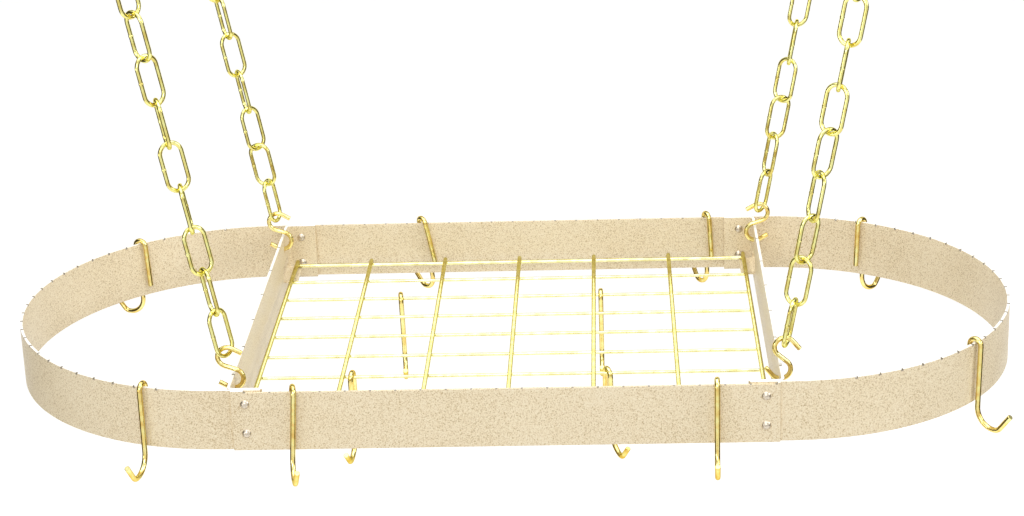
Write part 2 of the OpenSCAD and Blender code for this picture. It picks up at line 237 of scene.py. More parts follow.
class WireBench:
    """A bench on which one round wire is bent in edit mode, stretch after stretch.

    The wire starts at the origin along +Z and stays in the XZ plane. A positive bend goes to +X.
    """

    STEP_DEG = 9.0

    def __init__(self, name: str, start_d: float, sides: int = 20, ring: bool = False) -> None:
        """Clamps the start of the wire.

        Args:
            name: Name of the piece.
            start_d: Diameter of the wire at its start, in millimetres.
            sides: Number of facets around the wire.
            ring: Whether the wire closes on its start, and so has no cut ends.
        """
        deselect_all()
        fill = "NOTHING" if ring else "NGON"
        bpy.ops.mesh.primitive_circle_add(vertices=sides, radius=start_d / 2 * MM, fill_type=fill)
        self.piece = bpy.context.object
        self.piece.name = name
        bpy.ops.object.mode_set(mode="EDIT")
        bpy.ops.mesh.select_all(action="SELECT")
        self.at = Vector((0, 0, 0))
        self.aim = 0.0

    def go(self, length: float, swell: float = 1.0) -> "WireBench":
        """Draws the wire straight on.

        Args:
            length: Length of the stretch in millimetres.
            swell: Ratio of the diameter at its end to that at its start.

        Returns:
            The bench, for the next move.
        """
        step = Vector((math.sin(self.aim), 0, math.cos(self.aim))) * length * MM
        bpy.ops.mesh.extrude_region_move(TRANSFORM_OT_translate={"value": step})
        self.at = self.at + step
        if swell != 1.0:
            bpy.ops.transform.resize(value=(swell, swell, swell), center_override=self.at)
        return self

    def bend(self, radius: float, turn: float) -> "WireBench":
        """Bends the wire.

        Args:
            radius: Radius of the bend on the middle of the wire, in millimetres.
            turn: Angle of the bend in degrees.

        Returns:
            The bench, for the next move.
        """
        across = math.copysign(radius * MM, turn)
        centre = self.at + Vector((math.cos(self.aim), 0, -math.sin(self.aim))) * across
        steps = max(2, math.ceil(abs(turn) / self.STEP_DEG))
        # The operator turns against the usual sense of its axis
        bpy.ops.mesh.spin(steps=steps, angle=-math.radians(turn), center=centre, axis=(0, 1, 0))
        self.aim += math.radians(turn)
        self.at = centre - Vector((math.cos(self.aim), 0, -math.sin(self.aim))) * across
        return self

    def follow(self, moves: list[Move]) -> "WireBench":
        """Makes moves in a row: (length,) goes straight, (radius, turn) bends.

        Args:
            moves: The moves in millimetres and degrees.

        Returns:
            The bench, for the next move.
        """
        for move in moves:
            if len(move) == 1:
                self.go(*move)
            else:
                self.bend(*move)
        return self

    def finish(self) -> bpy.types.Object:
        """Takes the wire off the bench: merges doubles, points faces outwards, shades it smooth.

        Returns:
            The finished piece.
        """
        bpy.ops.mesh.select_all(action="SELECT")
        bpy.ops.mesh.remove_doubles(threshold=MERGE_MM * MM)
        bpy.ops.mesh.normals_make_consistent(inside=False)
        bpy.ops.object.mode_set(mode="OBJECT")
        smooth(self.piece)
        return self.piece


def cut_wire(name: str, diameter: float, moves: list[Move], burr: float = 0.35) -> bpy.types.Object:
    """Bends a wire whose two ends are cut off flat, with the burr taken off.

    Args:
        name: Name of the piece.
        diameter: Diameter of the wire in millimetres.
        moves: Its stretches and bends. The first and the last are straight.
        burr: Width of the broken edge at each end, in millimetres.

    Returns:
        The finished wire.
    """
    end_d = diameter - 2 * burr
    bench = WireBench(name, end_d)
    bench.go(burr, diameter / end_d)
    bench.follow([(moves[0][0] - burr,), *moves[1:-1], (moves[-1][0] - burr,)])
    bench.go(burr, end_d / diameter)
    return bench.finish()


def end_of(moves: list[Move], share: float = 1.0) -> tuple[Vector, float]:
    """Follows moves on paper.

    Args:
        moves: Stretches and bends, as for WireBench.follow.
        share: Share of the last move that is made.

    Returns:
        The end in millimetres, and the aim there in degrees.
    """
    at, aim = Vector((0, 0, 0)), 0.0
    for index, move in enumerate(moves):
        part = share if index == len(moves) - 1 else 1.0
        if len(move) == 1:
            at += Vector((math.sin(aim), 0, math.cos(aim))) * move[0] * part
        else:
            across = math.copysign(move[0], move[1])
            centre = at + Vector((math.cos(aim), 0, -math.sin(aim))) * across
            aim += math.radians(move[1]) * part
            at = centre - Vector((math.cos(aim), 0, -math.sin(aim))) * across
    return at, math.degrees(aim)


# ---- Finishes ---------------------------------------------------------------------------------


def linear(code: str) -> tuple[float, float, float, float]:
    """Turns an sRGB colour to a linear one.

    Args:
        code: Six hex digits.

    Returns:
        Linear red, green and blue, and an alpha of 1.
    """
    values = [int(code[i:i + 2], 16) / 255 for i in (0, 2, 4)]
    lines = [v / 12.92 if v <= 0.04045 else ((v + 0.055) / 1.055) ** 2.4 for v in values]
    return (*lines, 1.0)


def add_node(tree: bpy.types.NodeTree, kind: str, settings: dict | None = None,
             inputs: dict | None = None) -> bpy.types.Node:
    """Adds a shader node with its settings, values and links.

    Args:
        tree: The node tree.
        kind: Blender's name of the node's type.
        settings: Properties of the node.
        inputs: Values, or sockets to link from, by the input's name or number.

    Returns:
        The node.
    """
    node = tree.nodes.new(kind)
    for name, value in (settings or {}).items():
        setattr(node, name, value)
    for name, value in (inputs or {}).items():
        if isinstance(value, bpy.types.NodeSocket):
            tree.links.new(value, node.inputs[name])
        else:
            node.inputs[name].default_value = value
    return node


def set_ramp(node: bpy.types.Node, stops: list[tuple[float, str]]) -> None:
    """Puts colours on a colour ramp.

    Args:
        node: The Color Ramp node.
        stops: Positions from 0 to 1 with their sRGB hex colours, in order.
    """
    elements = node.color_ramp.elements
    while len(elements) < len(stops):
        elements.new(1.0)
    for element, (position, code) in zip(elements, stops):
        element.position = position
        element.color = linear(code)


def new_material(name: str) -> tuple[bpy.types.Material, bpy.types.NodeTree, bpy.types.Node]:
    """Starts a material.

    Args:
        name: Its name.

    Returns:
        The material, its node tree and its Principled shader, linked to the output.
    """
    material = bpy.data.materials.new(name)
    material.use_nodes = True
    tree = material.node_tree
    tree.nodes.clear()
    shader = add_node(tree, "ShaderNodeBsdfPrincipled")
    add_node(tree, "ShaderNodeOutputMaterial", inputs={"Surface": shader.outputs["BSDF"]})
    return material, tree, shader


@dataclass(frozen=True)
class HammeredPowderCoat:
    """Almond powder coat with a hammered texture, baked on steel strip, judged by its looks.

    It gives the eye a warm, half-gloss skin of grains a little over 1 mm wide, with painted light
    on their tops and painted shade between them and in pits 2 to 3 mm apart. The cut upper edge is
    painted nearly white, a painted highlight for the light that falls on it from above.
    """

    rim_z: float
    name: str = "hammered almond powder coat"
    # The tone follows the relief: painted shade in the hollows and pits, painted light on the
    # crests
    shaded_hollow: str = "C2AC84"
    skin: str = "E8D7B5"
    crest: str = "F3E8CE"
    # Painted highlight: the cut upper edge is painted nearly white for the light that falls on it
    # from above
    edge: str = "FBF8F0"
    grain_mm: float = 1.25
    pit_mm: float = 2.7
    cloud_mm: float = 70.0
    cloud_share: float = 0.12
    pit_depth: float = 0.2
    relief_mm: float = 0.2
    roughness: float = 0.42

    def build(self) -> bpy.types.Material:
        """Returns the material."""
        material, tree, shader = new_material(self.name)
        place = add_node(tree, "ShaderNodeTexCoord").outputs["Object"]
        grain = add_node(tree, "ShaderNodeTexNoise", inputs={
            "Vector": place, "Scale": 1 / (self.grain_mm * MM), "Detail": 2.0, "Roughness": 0.55})
        cloud = add_node(tree, "ShaderNodeTexNoise", inputs={
            "Vector": place, "Scale": 1 / (self.cloud_mm * MM), "Detail": 1.0})
        blend = add_node(tree, "ShaderNodeMath", {"operation": "MULTIPLY_ADD"}, {
            0: cloud.outputs["Fac"], 1: self.cloud_share, 2: -self.cloud_share / 2})
        cells = add_node(tree, "ShaderNodeTexVoronoi", inputs={
            "Vector": place, "Scale": 1 / (self.pit_mm * MM)})
        level = add_node(tree, "ShaderNodeMapRange", inputs={
            "Value": cells.outputs["Distance"], "From Min": 0.1, "From Max": 0.38,
            "To Min": -self.pit_depth, "To Max": 0.0})
        relief = add_node(tree, "ShaderNodeMath", {"operation": "ADD"}, {
            0: grain.outputs["Fac"], 1: level.outputs["Result"]})
        tone = add_node(tree, "ShaderNodeMath", {"operation": "ADD"}, {
            0: relief.outputs[0], 1: blend.outputs[0]})
        # Painted shade and light: the colour follows the bump's relief, darker in hollows and pits,
        # lighter on crests
        ramp = add_node(tree, "ShaderNodeValToRGB", inputs={"Fac": tone.outputs[0]})
        set_ramp(ramp, [(0.30, self.shaded_hollow), (0.47, self.skin), (0.72, self.crest)])
        # Painted highlight: from 0.5 mm below the rim up, the colour fades to the nearly white edge
        # colour
        height = add_node(tree, "ShaderNodeSeparateXYZ", inputs={"Vector": place})
        upper = add_node(tree, "ShaderNodeMapRange", inputs={
            "Value": height.outputs["Z"], "From Min": (self.rim_z - 0.5) * MM,
            "From Max": (self.rim_z - 0.1) * MM})
        colour = add_node(tree, "ShaderNodeMix", {"data_type": "RGBA"}, {
            0: upper.outputs["Result"], 6: ramp.outputs["Color"], 7: linear(self.edge)})
        bump = add_node(tree, "ShaderNodeBump", inputs={
            "Strength": 0.5, "Distance": self.relief_mm * MM, "Height": relief.outputs[0]})
        tree.links.new(colour.outputs[2], shader.inputs["Base Color"])
        tree.links.new(bump.outputs["Normal"], shader.inputs["Normal"])
        shader.inputs["Roughness"].default_value = self.roughness
        return material


@dataclass(frozen=True)
class NotchShade:
    """Painted shade inside a punched notch: its walls and floor are painted darker than the coat
    around them.

    It gives the eye a dull grey-brown cut, mottled every millimetre, in the pale upper edge.
    """

    name: str = "painted shade in a punched notch"
    # Painted shade: this grey-brown tone and the one below stand for the shade inside the notch
    steel: str = "7F776B"
    coat: str = "ADA28E"
    mottle_mm: float = 1.0
    roughness: float = 0.6

    def build(self) -> bpy.types.Material:
        """Returns the material."""
        material, tree, shader = new_material(self.name)
        place = add_node(tree, "ShaderNodeTexCoord").outputs["Object"]
        mottle = add_node(tree, "ShaderNodeTexNoise", inputs={
            "Vector": place, "Scale": 1 / (self.mottle_mm * MM), "Detail": 2.0})
        # Painted shade: the notch is mottled between two tones well darker than the coat around it
        ramp = add_node(tree, "ShaderNodeValToRGB", inputs={"Fac": mottle.outputs["Fac"]})
        set_ramp(ramp, [(0.4, self.steel), (0.6, self.coat)])
        bump = add_node(tree, "ShaderNodeBump", inputs={
            "Strength": 0.4, "Distance": 0.1 * MM, "Height": mottle.outputs["Fac"]})
        tree.links.new(ramp.outputs["Color"], shader.inputs["Base Color"])
        tree.links.new(bump.outputs["Normal"], shader.inputs["Normal"])
        shader.inputs["Roughness"].default_value = self.roughness
        return material


@dataclass(frozen=True)
class BrassPlate:
    """Bright brass, plated on drawn steel wire, judged by its looks.

    It gives the eye sharp, long reflections along the wire, a deep gold body that turns olive
    at grazing angles, and a faint unevenness of the plating every few millimetres.
    """

    name: str = "bright brass plating"
    pale: str = "F4EBA6"
    gold: str = "EDDA8A"
    deep: str = "DDBB68"
    rim: tuple[float, float, float, float] = (0.72, 0.58, 0.24, 1.0)
    patch_mm: float = 9.0
    ripple_mm: float = 1.6
    roughness: tuple[float, float] = (0.08, 0.16)

    def build(self) -> bpy.types.Material:
        """Returns the material."""
        material, tree, shader = new_material(self.name)
        place = add_node(tree, "ShaderNodeTexCoord").outputs["Object"]
        patch = add_node(tree, "ShaderNodeTexNoise", inputs={
            "Vector": place, "Scale": 1 / (self.patch_mm * MM), "Detail": 3.0})
        ripple = add_node(tree, "ShaderNodeTexNoise", inputs={
            "Vector": place, "Scale": 1 / (self.ripple_mm * MM), "Detail": 1.0})
        ramp = add_node(tree, "ShaderNodeValToRGB", inputs={"Fac": patch.outputs["Fac"]})
        set_ramp(ramp, [(0.30, self.deep), (0.50, self.gold), (0.70, self.pale)])
        gloss = add_node(tree, "ShaderNodeMapRange", inputs={
            "Value": patch.outputs["Fac"], "From Min": 0.3, "From Max": 0.7,
            "To Min": self.roughness[0], "To Max": self.roughness[1]})
        bump = add_node(tree, "ShaderNodeBump", inputs={
            "Strength": 0.12, "Distance": 0.05 * MM, "Height": ripple.outputs["Fac"]})
        tree.links.new(ramp.outputs["Color"], shader.inputs["Base Color"])
        tree.links.new(gloss.outputs["Result"], shader.inputs["Roughness"])
        tree.links.new(bump.outputs["Normal"], shader.inputs["Normal"])
        shader.inputs["Metallic"].default_value = 1.0
        shader.inputs["Specular Tint"].default_value = self.rim
        return material


@dataclass(frozen=True)
class RivetAluminium:
    """Aluminium, headed cold between dies, judged by its looks.

    It gives the eye a pale grey dome with a soft highlight and faint drawn-out marks.
    """

    name: str = "headed aluminium"
    dull: str = "B7AC9D"
    bright: str = "D9CEBB"
    mark_mm: float = 1.4
    roughness: float = 0.34

    def build(self) -> bpy.types.Material:
        """Returns the material."""
        material, tree, shader = new_material(self.name)
        place = add_node(tree, "ShaderNodeTexCoord").outputs["Object"]
        marks = add_node(tree, "ShaderNodeTexNoise", inputs={
            "Vector": place, "Scale": 1 / (self.mark_mm * MM), "Detail": 2.0})
        ramp = add_node(tree, "ShaderNodeValToRGB", inputs={"Fac": marks.outputs["Fac"]})
        set_ramp(ramp, [(0.35, self.dull), (0.65, self.bright)])
        bump = add_node(tree, "ShaderNodeBump", inputs={
            "Strength": 0.2, "Distance": 0.05 * MM, "Height": marks.outputs["Fac"]})
        tree.links.new(ramp.outputs["Color"], shader.inputs["Base Color"])
        tree.links.new(bump.outputs["Normal"], shader.inputs["Normal"])
        shader.inputs["Metallic"].default_value = 1.0
        shader.inputs["Roughness"].default_value = self.roughness
        return material


# ---- Sizes that the sub-assemblies share --------------------------------------------------------


@dataclass(frozen=True)
class Layout:
    """Main sizes of the rack in millimetres, as in its solids."""

    rack_l: float = 1080.0
    rack_w: float = 508.0
    band_h: float = 65.0
    strip: float = 3.0
    panel_l: float = 552.0
    lap: float = 30.0
    rim_z: float = -507.9490
    crossbar_out: float = 3.0
    hanger_inset: float = 46.0

    @property
    def bow_r(self) -> float:
        """Outer radius of a bow."""
        return self.rack_w / 2 - self.strip

    @property
    def bow_x(self) -> float:
        """Distance from the middle to the centre of a bow."""
        return self.rack_l / 2 - self.bow_r

    @property
    def panel_end(self) -> float:
        """Distance from the middle to the end of a side panel."""
        return self.panel_l / 2

    @property
    def web_x(self) -> float:
        """Distance from the middle to the middle of a crossbar web."""
        return self.panel_end + self.crossbar_out

    @property
    def hanger_y(self) -> float:
        """Distance from the middle line to a hanger hole."""
        return self.rack_w / 2 - self.hanger_inset


@dataclass
class Dresser:
    """Puts finishes on pieces and on solids, and ties pieces to what they stand for."""

    finishes: dict[Slot, bpy.types.Material]
    notch_finish: bpy.types.Material
    grid_finish: bpy.types.Material
    chain_finish: bpy.types.Material
    dressed: int = 0

    def coat(self, piece: bpy.types.Object, slot: Slot) -> None:
        """Gives a piece the finish of a slot.

        Args:
            piece: The piece or solid.
            slot: The slot of its finish.
        """
        piece.data.materials.clear()
        piece.data.materials.append(self.finishes[slot])

    def plate_grid(self, piece: bpy.types.Object) -> None:
        """Gives a piece of the grid its own, paler copy of the brass."""
        piece.data.materials[0] = self.grid_finish

    def plate_chain(self, piece: bpy.types.Object) -> None:
        """Gives a chain its own, greener copy of the brass."""
        piece.data.materials[0] = self.chain_finish

    def coat_notches(self, piece: bpy.types.Object,
                     in_notch: Callable[[Vector], bool]) -> None:
        """Gives the walls and the floor of each notch their own finish, a painted shade.

        Args:
            piece: The coated piece.
            in_notch: A test that takes a face's centre in millimetres.
        """
        piece.data.materials.append(self.notch_finish)
        for polygon in piece.data.polygons:
            polygon.material_index = int(in_notch(polygon.center / MM))

    def fit(self, piece: bpy.types.Object, slot: Slot, body: str, *nodes: str) -> None:
        """Finishes a piece, lets it ride on a body and hides the solids that it stands for.

        Args:
            piece: The new piece.
            slot: The slot of its finish.
            body: The body that carries it.
            nodes: The solids that it replaces, if any.
        """
        self.coat(piece, slot)
        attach(piece, body)
        if nodes:
            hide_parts(*nodes)
        self.dressed += 1
        LOG.info("%s rides on %s, %d faces", piece.name, body, len(piece.data.polygons))

    def coat_solids(self) -> None:
        """Gives every solid the finish of its slot, also where a piece stands for it."""
        for part in frame["record"]["subparts"]:
            self.coat(frame["nodes"][part["node"]], Slot(part["material_slot"]))


# ---- Band -------------------------------------------------------------------------------------


@dataclass
class Band:
    """The oval band: two straight side panels outside two half-round bows, with a notched rim."""

    layout: Layout
    notch_pitch: float = 25.4
    notch_w: float = 2.0
    notch_d: float = 1.8
    notch_inset: float = 14.4
    edge_round: float = 0.4
    gap_columns: int = 3
    last_notch_deg: float = 80.0
    notch_lip: float = 0.45

    @property
    def row(self) -> float:
        """Height of the notches' floors."""
        return self.layout.rim_z - self.notch_d

    @property
    def straight_notches(self) -> list[float]:
        """Places of a side panel's notches along X."""
        first = self.notch_inset - self.layout.panel_end
        count = int((self.layout.panel_end - self.notch_w - first) / self.notch_pitch) + 1
        return [first + i * self.notch_pitch for i in range(count)]

    @property
    def notch_step(self) -> float:
        """Angle between two notches of a bow."""
        return math.degrees(self.notch_pitch / self.layout.bow_r)

    @property
    def notch_count(self) -> int:
        """Number of notches on each side of a bow's middle."""
        return math.floor(self.last_notch_deg / self.notch_step)

    def in_straight_notch(self, at: Vector, lip: float = 0.0) -> bool:
        """Tells whether a point lies in a notch of a side panel.

        Args:
            at: The point in millimetres.
            lip: Width around the notch that counts too.

        Returns:
            Whether it lies in one.
        """
        close = any(abs(at.x - x) < self.notch_w / 2 + lip for x in self.straight_notches)
        return at.z > self.row - lip and close

    def in_bow_notch(self, at: Vector, lip: float = 0.0) -> bool:
        """Tells whether a point lies in a notch of the right bow.

        Args:
            at: The point in millimetres.
            lip: Width around the notch that counts too.

        Returns:
            Whether it lies in one.
        """
        size = self.layout
        across = abs(at.x) - size.bow_x
        around = math.degrees(math.atan2(at.y, across)) / self.notch_step
        off = abs(around - round(around)) * math.radians(self.notch_step) * size.bow_r
        near = off < self.notch_w / 2 * size.bow_r / (size.bow_r - size.strip) + lip
        inside = across > 0 and abs(round(around)) <= self.notch_count
        return at.z > self.row - lip and inside and near

    def _start_strip(self, name: str, x0: float, x1: float, y: float) -> bpy.types.Object:
        """Adds a flat piece of strip along X, cut once at the depth of the notches.

        Args:
            name: Name of the piece.
            x0: Its left end.
            x1: Its right end.
            y: Place of its outer face.

        Returns:
            The piece, in edit mode.
        """
        size = self.layout
        deselect_all()
        middle = Vector(((x0 + x1) / 2, y, size.rim_z - size.band_h / 2)) * MM
        bpy.ops.mesh.primitive_plane_add(size=1, location=middle, rotation=(math.pi / 2, 0, 0))
        piece = bpy.context.object
        piece.name = name
        bpy.ops.object.transform_apply(location=True, rotation=True, scale=True)
        bpy.ops.object.mode_set(mode="EDIT")
        bpy.ops.mesh.select_all(action="SELECT")
        stretch = ((x1 - x0) * MM, 1, size.band_h * MM)
        bpy.ops.transform.resize(value=stretch, center_override=middle)
        self._cut(Vector((0, 0, self.row)), Vector((0, 0, 1)))
        return piece

    def _cut(self, point: Vector, normal: Vector) -> None:
        """Cuts the whole piece in edit mode along a plane, given by a point in millimetres."""
        bpy.ops.mesh.select_all(action="SELECT")
        bpy.ops.mesh.bisect(plane_co=point * MM, plane_no=normal)

    def _open_notches(self, piece: bpy.types.Object,
                      inside_notch: Callable[[Vector], bool]) -> None:
        """Deletes the faces of the upper row that lie in a notch.

        Args:
            piece: The strip in edit mode.
            inside_notch: A test that takes a face's centre in millimetres.
        """
        pick_faces(piece, lambda at, _: inside_notch(at / MM))
        bpy.ops.mesh.delete(type="FACE")

    def _thicken(self, piece: bpy.types.Object, outward: Callable[[Vector], Vector]) -> None:
        """Gives the strip its thickness, inwards from its outer face, and softens its edges.

        Args:
            piece: The strip in edit mode.
            outward: Takes a point and returns the outward direction there.
        """
        bpy.ops.mesh.select_all(action="SELECT")
        bpy.ops.mesh.remove_doubles(threshold=0.01 * MM)
        bpy.ops.mesh.normals_make_consistent(inside=False)
        bpy.ops.object.mode_set(mode="OBJECT")
        first = piece.data.polygons[0]
        if first.normal.dot(outward(first.center)) < 0:
            bpy.ops.object.mode_set(mode="EDIT")
            bpy.ops.mesh.select_all(action="SELECT")
            bpy.ops.mesh.flip_normals()
            bpy.ops.object.mode_set(mode="OBJECT")
        wall = piece.modifiers.new("wall", "SOLIDIFY")
        wall.thickness = self.layout.strip * MM
        wall.offset = -1.0
        wall.use_even_offset = True
        apply_modifiers(piece)
        smooth(piece)
        soften_edges(piece, self.edge_round)

    def side_panel(self, name: str, way: int) -> bpy.types.Object:
        """Models a straight side panel.

        Args:
            name: Name of the piece.
            way: -1 for the front, 1 for the rear.

        Returns:
            The panel.
        """
        end = self.layout.panel_end
        piece = self._start_strip(name, -end, end, way * self.layout.rack_w / 2)
        for x in self.straight_notches:
            for edge in (-1, 1):
                self._cut(Vector((x + edge * self.notch_w / 2, 0, 0)), Vector((1, 0, 0)))
        self._open_notches(piece, self.in_straight_notch)
        self._thicken(piece, lambda _: Vector((0, way, 0)))
        return piece

    def end_bow(self, name: str, side: Side) -> bpy.types.Object:
        """Models a half-round end with a straight tail behind each panel.

        Args:
            name: Name of the piece.
            side: The end of the rack.

        Returns:
            The bow.
        """
        size = self.layout
        tail = size.panel_end - size.lap
        piece = self._start_strip(name, tail, size.bow_x, -size.bow_r)
        at_bend = size.bow_x - 0.01
        pick_edges(piece, lambda at: at.x / MM > at_bend)
        pitch, count = self.notch_step, self.notch_count
        wide = math.degrees(self.notch_w / (size.bow_r - size.strip))
        lead = 90 - count * pitch - wide / 2
        turns = [(lead, self.gap_columns)]
        for _ in range(2 * count):
            turns += [(wide, 1), (pitch - wide, self.gap_columns)]
        turns += [(wide, 1), (lead, self.gap_columns)]
        centre = Vector((size.bow_x, 0, 0)) * MM
        for turn, steps in turns:
            bpy.ops.mesh.spin(steps=steps, angle=-math.radians(turn), center=centre, axis=(0, 0, 1))
        back = Vector((tail - size.bow_x, 0, 0)) * MM
        bpy.ops.mesh.extrude_region_move(TRANSFORM_OT_translate={"value": back})
        self._open_notches(piece, self.in_bow_notch)
        self._thicken(piece, lambda at: Vector((max(at.x - size.bow_x * MM, 0), at.y, 0)))
        if side is Side.LEFT:
            piece.data.transform(turned(180, "Z"))
        return piece

    def build(self, dresser: Dresser) -> None:
        """Models and dresses the panels and the bows.

        Args:
            dresser: Puts on the finishes.
        """
        for name, node, way in (("front_side_strip", "front_panel", -1),
                                ("rear_side_strip", "rear_panel", 1)):
            piece = self.side_panel(name, way)
            dresser.fit(piece, Slot.POWDER_COAT, "rack", node)
            dresser.coat_notches(piece, lambda at: self.in_straight_notch(at, self.notch_lip))
        for side in Side:
            piece = self.end_bow(f"{side.name.lower()}_end_strip", side)
            dresser.fit(piece, Slot.POWDER_COAT, "rack", f"{side.name.lower()}_bow")
            dresser.coat_notches(piece, lambda at: self.in_bow_notch(at, self.notch_lip))


@dataclass
class Crossbars:
    """The two crossbars, whose pressed solids are kept and only lose their sharp edges."""

    layout: Layout
    edge_round: float = 0.4
    notch_start: float = 44.0
    notch_pitch: float = 76.2
    notch_w: float = 2.0
    notch_d: float = 1.8
    notch_lip: float = 0.45

    def in_notch(self, at: Vector) -> bool:
        """Tells whether a point in millimetres lies in a notch or on its lip."""
        half = self.layout.rack_w / 2
        steps = (at.y - self.notch_start + half) / self.notch_pitch
        close = abs(steps - round(steps)) * self.notch_pitch < self.notch_w / 2 + self.notch_lip
        inside = round(steps) >= 0 and at.y < self.layout.hanger_y
        return at.z > self.layout.rim_z - self.notch_d - self.notch_lip and close and inside

    def soft_copy(self, node: str, name: str) -> bpy.types.Object:
        """Copies a solid, merges its loose triangles and softens its edges.

        Args:
            node: The solid.
            name: Name of the piece.

        Returns:
            The softened piece.
        """
        piece = place_copy(frame["nodes"][node], name, Matrix.Identity(4))
        piece.parent = None
        for key in list(piece.keys()):
            del piece[key]
        make_active(piece)
        bpy.ops.object.mode_set(mode="EDIT")
        bpy.ops.mesh.select_all(action="SELECT")
        bpy.ops.mesh.remove_doubles(threshold=MERGE_MM * MM)
        bpy.ops.mesh.dissolve_limited(angle_limit=math.radians(0.5))
        bpy.ops.object.mode_set(mode="OBJECT")
        smooth(piece)
        soften_edges(piece, self.edge_round)
        return piece

    def build(self, dresser: Dresser) -> None:
        """Makes and dresses both crossbars.

        Args:
            dresser: Puts on the finishes.
        """
        for side in Side:
            node = f"{side.name.lower()}_crossbar"
            piece = self.soft_copy(node, f"{node}_pressing")
            dresser.fit(piece, Slot.POWDER_COAT, "rack", node)
            dresser.coat_notches(piece, self.in_notch)


# ---- Grid -------------------------------------------------------------------------------------


@dataclass
class Grid:
    """The lift-out grid: thick cross wires on thinner long wires, welded where they cross."""

    layout: Layout
    cross_d: float = 4.8
    cross_count: int = 7
    long_d: float = 3.5
    rail_d: float = 4.0
    long_count: int = 9
    depth: float = 38.7
    side_gap: float = 9.0
    end_gap: float = 18.0
    overhang: float = 3.0
    weld_w: float = 3.4
    weld_h: float = 1.5

    @property
    def bottom(self) -> float:
        """Height of the underside of the cross wires, where the long wires are welded on."""
        return self.layout.rim_z - self.depth - self.cross_d

    @property
    def cross_half_l(self) -> float:
        """Half the length of a cross wire."""
        return self.layout.bow_r - self.end_gap

    @property
    def half_l(self) -> float:
        """Half the length of the grid."""
        return self.layout.web_x - self.layout.strip / 2 - self.side_gap

    def cross_x(self, i: int) -> float:
        """Returns the place of cross wire i, from 1, along X."""
        outer = self.half_l - self.cross_d / 2
        return -outer + (i - 1) * 2 * outer / (self.cross_count - 1)

    def long_y(self, j: int) -> float:
        """Returns the place of long wire j, from 1, along Y."""
        rail = self.cross_half_l - self.overhang
        return -rail + (j - 1) * 2 * rail / (self.long_count - 1)

    def wire_d(self, j: int) -> float:
        """Returns the diameter of long wire j."""
        return self.rail_d if j in (1, self.long_count) else self.long_d

    def weld(self) -> bpy.types.Object:
        """Models one flat weld nugget, at the origin.

        Returns:
            The nugget.
        """
        deselect_all()
        bpy.ops.mesh.primitive_cube_add(size=self.weld_w * MM)
        piece = bpy.context.object
        bpy.ops.object.mode_set(mode="EDIT")
        bpy.ops.mesh.select_all(action="SELECT")
        flat = (1, 1, self.weld_h / self.weld_w)
        bpy.ops.transform.resize(value=flat, center_override=(0, 0, 0))
        bpy.ops.mesh.bevel(offset=self.weld_h * 0.45 * MM, segments=2)
        bpy.ops.mesh.normals_make_consistent(inside=False)
        bpy.ops.object.mode_set(mode="OBJECT")
        smooth(piece, 60)
        return piece

    def build(self, dresser: Dresser) -> None:
        """Models and dresses the wires and their welds.

        Args:
            dresser: Puts on the finishes.
        """
        brass = Slot.BRASS_PLATING
        half = self.cross_half_l
        cross = cut_wire("cross_wire_pattern", self.cross_d, [(half,), (half,)])
        for i in range(1, self.cross_count + 1):
            place = shift(self.cross_x(i), -half, self.bottom + self.cross_d / 2) @ turned(-90, "X")
            piece = place_copy(cross, f"cross_rod_{i}", place)
            dresser.fit(piece, brass, "grid", f"cross_wire_{i}")
            dresser.plate_grid(piece)
        bpy.data.objects.remove(cross)
        for diameter in (self.long_d, self.rail_d):
            rod = cut_wire("long_wire_pattern", diameter, [(self.half_l,), (self.half_l,)])
            for j in range(1, self.long_count + 1):
                if self.wire_d(j) == diameter:
                    z = self.bottom - diameter / 2
                    place = shift(-self.half_l, self.long_y(j), z) @ turned(90, "Y")
                    piece = place_copy(rod, f"long_rod_{j}", place)
                    dresser.fit(piece, brass, "grid", f"long_wire_{j}")
                    dresser.plate_grid(piece)
            bpy.data.objects.remove(rod)
        nugget = self.weld()
        nuggets = [
            place_copy(nugget, "weld", shift(self.cross_x(i), self.long_y(j), self.bottom))
            for i in range(1, self.cross_count + 1) for j in range(1, self.long_count + 1)
        ]
        bpy.data.objects.remove(nugget)
        welds = join_pieces(nuggets, "grid_welds")
        dresser.fit(welds, brass, "grid")
        dresser.plate_grid(welds)


# ---- Pot hooks --------------------------------------------------------------------------------


@dataclass(frozen=True)
class RimSeat:
    """Where a pot hook hangs on the rim.

    On a panel, `at` is the place along X and `outward` is -90 or 90. On a bow, `at` is None and
    `outward` is the angle around the bow.
    """

    name: str
    outward: float
    turn: float
    lean: float
    at: float | None = None


@dataclass(frozen=True)
class WireSeat:
    """Where a pot hook hangs on a long wire: the wire, the cross wire to its left, the distance
    past that, and its turn."""

    name: str
    wire: int
    bay: int
    past: float
    turn: float


